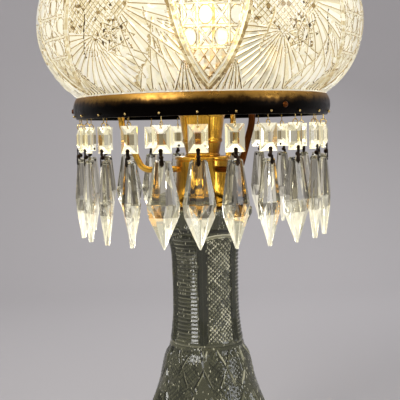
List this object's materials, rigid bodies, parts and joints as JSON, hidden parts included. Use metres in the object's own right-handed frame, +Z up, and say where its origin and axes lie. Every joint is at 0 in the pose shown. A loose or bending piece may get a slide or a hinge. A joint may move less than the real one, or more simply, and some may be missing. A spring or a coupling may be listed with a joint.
{
  "type": "cut glass table lamp",
  "caption": "Table lamp with a hollow cut glass base, brass cap and arms, a ring carrying a domed cut glass shade, and a fringe of hanging faceted prisms.",
  "frame": {"origin": "on the table, under the middle of the foot", "axes": "+Z up along the lamp pipe, -Y the front of the lamp, +X its right side seen from the front"},
  "size_m": [0.306, 0.306, 0.556],
  "materials": {
    "cut_glass": "clear lead glass, brilliant cut",
    "shade_glass": "clear lead glass, cut all over, lit from inside",
    "prism_glass": "clear faceted glass",
    "bulb_glass": "frosted bulb glass, lit",
    "clear_glass": "clear glass",
    "polished_brass": "polished, lacquered",
    "aged_brass": "darkened with age",
    "dark_ring": "dark patina, rubbed bright on the edges",
    "pin_wire": "bent wire with bright heads",
    "brass": "machined",
    "steel": "plain pressed steel",
    "nickel": "thin drawn metal",
    "filament": "bright wire",
    "fibre": "dark pressed fibre",
    "porcelain": "glazed",
    "black_key": "black moulded",
    "gasket": "matt",
    "felt": "green felt"
  },
  "bodies": {
    "stand": {"glass_base": "cut_glass", "felt_pad": "felt", "base_plate": "steel", "base_washer": "steel", "base_nut": "brass", "outlet_bush": "brass", "lamp_pipe": "brass", "cap_gasket": "gasket", "brass_cap": "polished_brass", "socket_cup": "polished_brass", "pipe_locknut": "brass", "arm_left": "aged_brass", "arm_front": "aged_brass", "arm_rear": "aged_brass", "arm_screws": "aged_brass", "shade_ring": "dark_ring", "prism_pins": "pin_wire", "holder_cap": "brass", "holder_shell": "brass", "holder_liner": "fibre", "holder_core": "porcelain", "screw_shell": "brass", "centre_contact": "brass"},
    "shade": {"shade": "shade_glass"},
    "bulb": {"bulb_glass": "bulb_glass", "bulb_base": "nickel", "bulb_stem": "clear_glass", "bulb_filament": "filament"},
    "switch_key": {"switch_key": "black_key"},
    "set_01": {"prism_01": "prism_glass"},
    "set_02": {"prism_02": "prism_glass"},
    "set_03": {"prism_03": "prism_glass"},
    "set_04": {"prism_04": "prism_glass"},
    "set_05": {"prism_05": "prism_glass"},
    "set_06": {"prism_06": "prism_glass"},
    "set_07": {"prism_07": "prism_glass"},
    "set_08": {"prism_08": "prism_glass"},
    "set_09": {"prism_09": "prism_glass"},
    "set_10": {"prism_10": "prism_glass"},
    "set_11": {"prism_11": "prism_glass"},
    "set_12": {"prism_12": "prism_glass"},
    "set_13": {"prism_13": "prism_glass"},
    "set_14": {"prism_14": "prism_glass"},
    "set_15": {"prism_15": "prism_glass"},
    "set_16": {"prism_16": "prism_glass"},
    "set_17": {"prism_17": "prism_glass"},
    "set_18": {"prism_18": "prism_glass"},
    "set_19": {"prism_19": "prism_glass"},
    "set_20": {"prism_20": "prism_glass"},
    "set_21": {"prism_21": "prism_glass"},
    "set_22": {"prism_22": "prism_glass"},
    "set_23": {"prism_23": "prism_glass"},
    "set_24": {"prism_24": "prism_glass"}
  },
  "joints": [
    {"name": "shade_lift", "type": "slide", "parent": "stand", "child": "shade", "axis": [0, 0, 1], "range_m": [0, 0.2]},
    {"name": "bulb_out", "type": "slide", "parent": "stand", "child": "bulb", "axis": [0, 0, 1], "range_m": [0, 0.03]},
    {"name": "key_turn", "type": "hinge", "parent": "stand", "child": "switch_key", "pos_m": [0, 0, 0.376], "axis": [0.9945, 0.1045, 0], "continuous": true},
    {"name": "swing_01", "type": "hinge", "parent": "stand", "child": "set_01", "pos_m": [-0.00356, -0.11655, 0.3582], "axis": [-0.9995, 0.0305, 0], "range_deg": [-4, 60]},
    {"name": "swing_02", "type": "hinge", "parent": "stand", "child": "set_02", "pos_m": [0.02672, -0.1135, 0.3582], "axis": [-0.9734, -0.2292, 0], "range_deg": [-4, 60]},
    {"name": "swing_03", "type": "hinge", "parent": "stand", "child": "set_03", "pos_m": [0.05519, -0.10271, 0.3582], "axis": [-0.8809, -0.4733, 0], "range_deg": [-4, 60]},
    {"name": "swing_04", "type": "hinge", "parent": "stand", "child": "set_04", "pos_m": [0.07989, -0.08493, 0.3582], "axis": [-0.7284, -0.6852, 0], "range_deg": [-4, 60]},
    {"name": "swing_05", "type": "hinge", "parent": "stand", "child": "set_05", "pos_m": [0.09915, -0.06136, 0.3582], "axis": [-0.5262, -0.8504, 0], "range_deg": [-4, 60]},
    {"name": "swing_06", "type": "hinge", "parent": "stand", "child": "set_06", "pos_m": [0.11165, -0.0336, 0.3582], "axis": [-0.2882, -0.9576, 0], "range_deg": [-4, 60]},
    {"name": "swing_07", "type": "hinge", "parent": "stand", "child": "set_07", "pos_m": [0.11655, -0.00356, 0.3582], "axis": [-0.0305, -0.9995, 0], "range_deg": [-4, 60]},
    {"name": "swing_08", "type": "hinge", "parent": "stand", "child": "set_08", "pos_m": [0.1135, 0.02672, 0.3582], "axis": [0.2292, -0.9734, 0], "range_deg": [-4, 60]},
    {"name": "swing_09", "type": "hinge", "parent": "stand", "child": "set_09", "pos_m": [0.10271, 0.05519, 0.3582], "axis": [0.4733, -0.8809, 0], "range_deg": [-4, 60]},
    {"name": "swing_10", "type": "hinge", "parent": "stand", "child": "set_10", "pos_m": [0.08493, 0.07989, 0.3582], "axis": [0.6852, -0.7284, 0], "range_deg": [-4, 60]},
    {"name": "swing_11", "type": "hinge", "parent": "stand", "child": "set_11", "pos_m": [0.06136, 0.09915, 0.3582], "axis": [0.8504, -0.5262, 0], "range_deg": [-4, 60]},
    {"name": "swing_12", "type": "hinge", "parent": "stand", "child": "set_12", "pos_m": [0.0336, 0.11165, 0.3582], "axis": [0.9576, -0.2882, 0], "range_deg": [-4, 60]},
    {"name": "swing_13", "type": "hinge", "parent": "stand", "child": "set_13", "pos_m": [0.00356, 0.11655, 0.3582], "axis": [0.9995, -0.0305, 0], "range_deg": [-4, 60]},
    {"name": "swing_14", "type": "hinge", "parent": "stand", "child": "set_14", "pos_m": [-0.02672, 0.1135, 0.3582], "axis": [0.9734, 0.2292, 0], "range_deg": [-4, 60]},
    {"name": "swing_15", "type": "hinge", "parent": "stand", "child": "set_15", "pos_m": [-0.05519, 0.10271, 0.3582], "axis": [0.8809, 0.4733, 0], "range_deg": [-4, 60]},
    {"name": "swing_16", "type": "hinge", "parent": "stand", "child": "set_16", "pos_m": [-0.07989, 0.08493, 0.3582], "axis": [0.7284, 0.6852, 0], "range_deg": [-4, 60]},
    {"name": "swing_17", "type": "hinge", "parent": "stand", "child": "set_17", "pos_m": [-0.09915, 0.06136, 0.3582], "axis": [0.5262, 0.8504, 0], "range_deg": [-4, 60]},
    {"name": "swing_18", "type": "hinge", "parent": "stand", "child": "set_18", "pos_m": [-0.11165, 0.0336, 0.3582], "axis": [0.2882, 0.9576, 0], "range_deg": [-4, 60]},
    {"name": "swing_19", "type": "hinge", "parent": "stand", "child": "set_19", "pos_m": [-0.11655, 0.00356, 0.3582], "axis": [0.0305, 0.9995, 0], "range_deg": [-4, 60]},
    {"name": "swing_20", "type": "hinge", "parent": "stand", "child": "set_20", "pos_m": [-0.1135, -0.02672, 0.3582], "axis": [-0.2292, 0.9734, 0], "range_deg": [-4, 60]},
    {"name": "swing_21", "type": "hinge", "parent": "stand", "child": "set_21", "pos_m": [-0.10271, -0.05519, 0.3582], "axis": [-0.4733, 0.8809, 0], "range_deg": [-4, 60]},
    {"name": "swing_22", "type": "hinge", "parent": "stand", "child": "set_22", "pos_m": [-0.08493, -0.07989, 0.3582], "axis": [-0.6852, 0.7284, 0], "range_deg": [-4, 60]},
    {"name": "swing_23", "type": "hinge", "parent": "stand", "child": "set_23", "pos_m": [-0.06136, -0.09915, 0.3582], "axis": [-0.8504, 0.5262, 0], "range_deg": [-4, 60]},
    {"name": "swing_24", "type": "hinge", "parent": "stand", "child": "set_24", "pos_m": [-0.0336, -0.11165, 0.3582], "axis": [-0.9576, 0.2882, 0], "range_deg": [-4, 60]}
  ]
}
